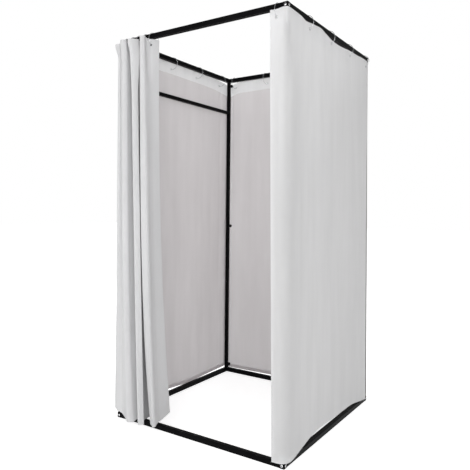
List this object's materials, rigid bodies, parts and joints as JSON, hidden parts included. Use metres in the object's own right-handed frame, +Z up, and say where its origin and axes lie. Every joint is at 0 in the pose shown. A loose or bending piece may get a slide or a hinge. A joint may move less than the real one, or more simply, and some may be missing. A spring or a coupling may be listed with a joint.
{
  "type": "portable fitting room",
  "caption": "Free-standing cubicle of black square tube with pale grey curtains hung on wire rings all round, the front one drawn aside, and a clothes bar inside.",
  "frame": {"origin": "on the floor, under the middle of the whole part's bounding box", "axes": "+Z up, +X to the right as one faces the entrance from outside, +Y into the room"},
  "size_m": [1.0476, 1.0948, 2.005],
  "materials": {
    "frame_black": "satin black powder coat",
    "knob_black": "moulded black plastic",
    "ring_wire": "bright plated wire",
    "curtain_cloth": "matt pale grey woven cloth"
  },
  "bodies": {
    "frame": {"corner_front_left_bottom": "frame_black", "corner_front_left_top": "frame_black", "corner_front_right_bottom": "frame_black", "corner_front_right_top": "frame_black", "corner_back_left_bottom": "frame_black", "corner_back_left_top": "frame_black", "corner_back_right_bottom": "frame_black", "corner_back_right_top": "frame_black", "post_front_left_lower": "frame_black", "post_front_left_upper": "frame_black", "post_front_right_lower": "frame_black", "post_front_right_upper": "frame_black", "post_back_left_lower": "frame_black", "post_back_left_upper": "frame_black", "post_back_right_lower": "frame_black", "post_back_right_upper": "frame_black", "beam_front_bottom": "frame_black", "beam_back_bottom": "frame_black", "beam_left_bottom": "frame_black", "beam_right_bottom": "frame_black", "beam_front_top": "frame_black", "beam_back_top": "frame_black", "beam_left_top": "frame_black", "beam_right_top": "frame_black", "hanging_bar": "frame_black", "curtain_left": "curtain_cloth", "curtain_back": "curtain_cloth", "curtain_right": "curtain_cloth", "ring_front_1": "ring_wire", "ring_left_2": "ring_wire", "ring_left_3": "ring_wire", "ring_left_4": "ring_wire", "ring_left_5": "ring_wire", "ring_back_1": "ring_wire", "ring_back_2": "ring_wire", "ring_back_3": "ring_wire", "ring_back_4": "ring_wire", "ring_back_5": "ring_wire", "ring_right_1": "ring_wire", "ring_right_2": "ring_wire", "ring_right_3": "ring_wire", "ring_right_4": "ring_wire", "ring_right_5": "ring_wire"},
    "front_curtain_lead": {"curtain_front": "curtain_cloth", "ring_front_5": "ring_wire"},
    "front_ring_2": {"ring_front_2": "ring_wire"},
    "front_ring_3": {"ring_front_3": "ring_wire"},
    "front_ring_4": {"ring_front_4": "ring_wire"},
    "knob_front_left_bottom": {"knob_front_left_bottom": "knob_black"},
    "knob_front_left_middle": {"knob_front_left_middle": "knob_black"},
    "knob_front_left_top": {"knob_front_left_top": "knob_black"},
    "knob_front_right_bottom": {"knob_front_right_bottom": "knob_black"},
    "knob_front_right_middle": {"knob_front_right_middle": "knob_black"},
    "knob_front_right_top": {"knob_front_right_top": "knob_black"},
    "knob_back_left_bottom": {"knob_back_left_bottom": "knob_black"},
    "knob_back_left_middle": {"knob_back_left_middle": "knob_black"},
    "knob_back_left_top": {"knob_back_left_top": "knob_black"},
    "knob_back_right_bottom": {"knob_back_right_bottom": "knob_black"},
    "knob_back_right_middle": {"knob_back_right_middle": "knob_black"},
    "knob_back_right_top": {"knob_back_right_top": "knob_black"}
  },
  "joints": [
    {"name": "front_curtain_slide", "type": "slide", "parent": "frame", "child": "front_curtain_lead", "axis": [1, 0, 0], "range_m": [0, 0.665], "deforming": ["curtain_front"]},
    {"name": "front_ring_2_slide", "type": "slide", "parent": "frame", "child": "front_ring_2", "axis": [1, 0, 0], "range_m": [0, 0.104]},
    {"name": "front_ring_3_slide", "type": "slide", "parent": "frame", "child": "front_ring_3", "axis": [1, 0, 0], "range_m": [0, 0.3326]},
    {"name": "front_ring_4_slide", "type": "slide", "parent": "frame", "child": "front_ring_4", "axis": [1, 0, 0], "range_m": [0, 0.5612]},
    {"name": "knob_front_left_bottom_turn", "type": "hinge", "parent": "frame", "child": "knob_front_left_bottom", "pos_m": [-0.4775, -0.464, 0.049], "axis": [1, 0, 0], "range_deg": [0, 540]},
    {"name": "knob_front_left_middle_turn", "type": "hinge", "parent": "frame", "child": "knob_front_left_middle", "pos_m": [-0.4775, -0.464, 0.99], "axis": [1, 0, 0], "range_deg": [0, 540]},
    {"name": "knob_front_left_top_turn", "type": "hinge", "parent": "frame", "child": "knob_front_left_top", "pos_m": [-0.4775, -0.464, 1.951], "axis": [1, 0, 0], "range_deg": [0, 540]},
    {"name": "knob_front_right_bottom_turn", "type": "hinge", "parent": "frame", "child": "knob_front_right_bottom", "pos_m": [0.4775, -0.464, 0.049], "axis": [-1, 0, 0], "range_deg": [0, 540]},
    {"name": "knob_front_right_middle_turn", "type": "hinge", "parent": "frame", "child": "knob_front_right_middle", "pos_m": [0.4775, -0.464, 0.99], "axis": [-1, 0, 0], "range_deg": [0, 540]},
    {"name": "knob_front_right_top_turn", "type": "hinge", "parent": "frame", "child": "knob_front_right_top", "pos_m": [0.4775, -0.464, 1.951], "axis": [-1, 0, 0], "range_deg": [0, 540]},
    {"name": "knob_back_left_bottom_turn", "type": "hinge", "parent": "frame", "child": "knob_back_left_bottom", "pos_m": [-0.4775, 0.511, 0.049], "axis": [1, 0, 0], "range_deg": [0, 540]},
    {"name": "knob_back_left_middle_turn", "type": "hinge", "parent": "frame", "child": "knob_back_left_middle", "pos_m": [-0.4775, 0.511, 0.99], "axis": [1, 0, 0], "range_deg": [0, 540]},
    {"name": "knob_back_left_top_turn", "type": "hinge", "parent": "frame", "child": "knob_back_left_top", "pos_m": [-0.4775, 0.511, 1.951], "axis": [1, 0, 0], "range_deg": [0, 540]},
    {"name": "knob_back_right_bottom_turn", "type": "hinge", "parent": "frame", "child": "knob_back_right_bottom", "pos_m": [0.4775, 0.511, 0.049], "axis": [-1, 0, 0], "range_deg": [0, 540]},
    {"name": "knob_back_right_middle_turn", "type": "hinge", "parent": "frame", "child": "knob_back_right_middle", "pos_m": [0.4775, 0.511, 0.99], "axis": [-1, 0, 0], "range_deg": [0, 540]},
    {"name": "knob_back_right_top_turn", "type": "hinge", "parent": "frame", "child": "knob_back_right_top", "pos_m": [0.4775, 0.511, 1.951], "axis": [-1, 0, 0], "range_deg": [0, 540]}
  ],
  "couplings": [
    {"joint": "front_ring_2_slide", "follows": "front_curtain_slide", "ratio": 0.15625},
    {"joint": "front_ring_3_slide", "follows": "front_curtain_slide", "ratio": 0.5},
    {"joint": "front_ring_4_slide", "follows": "front_curtain_slide", "ratio": 0.84375}
  ]
}
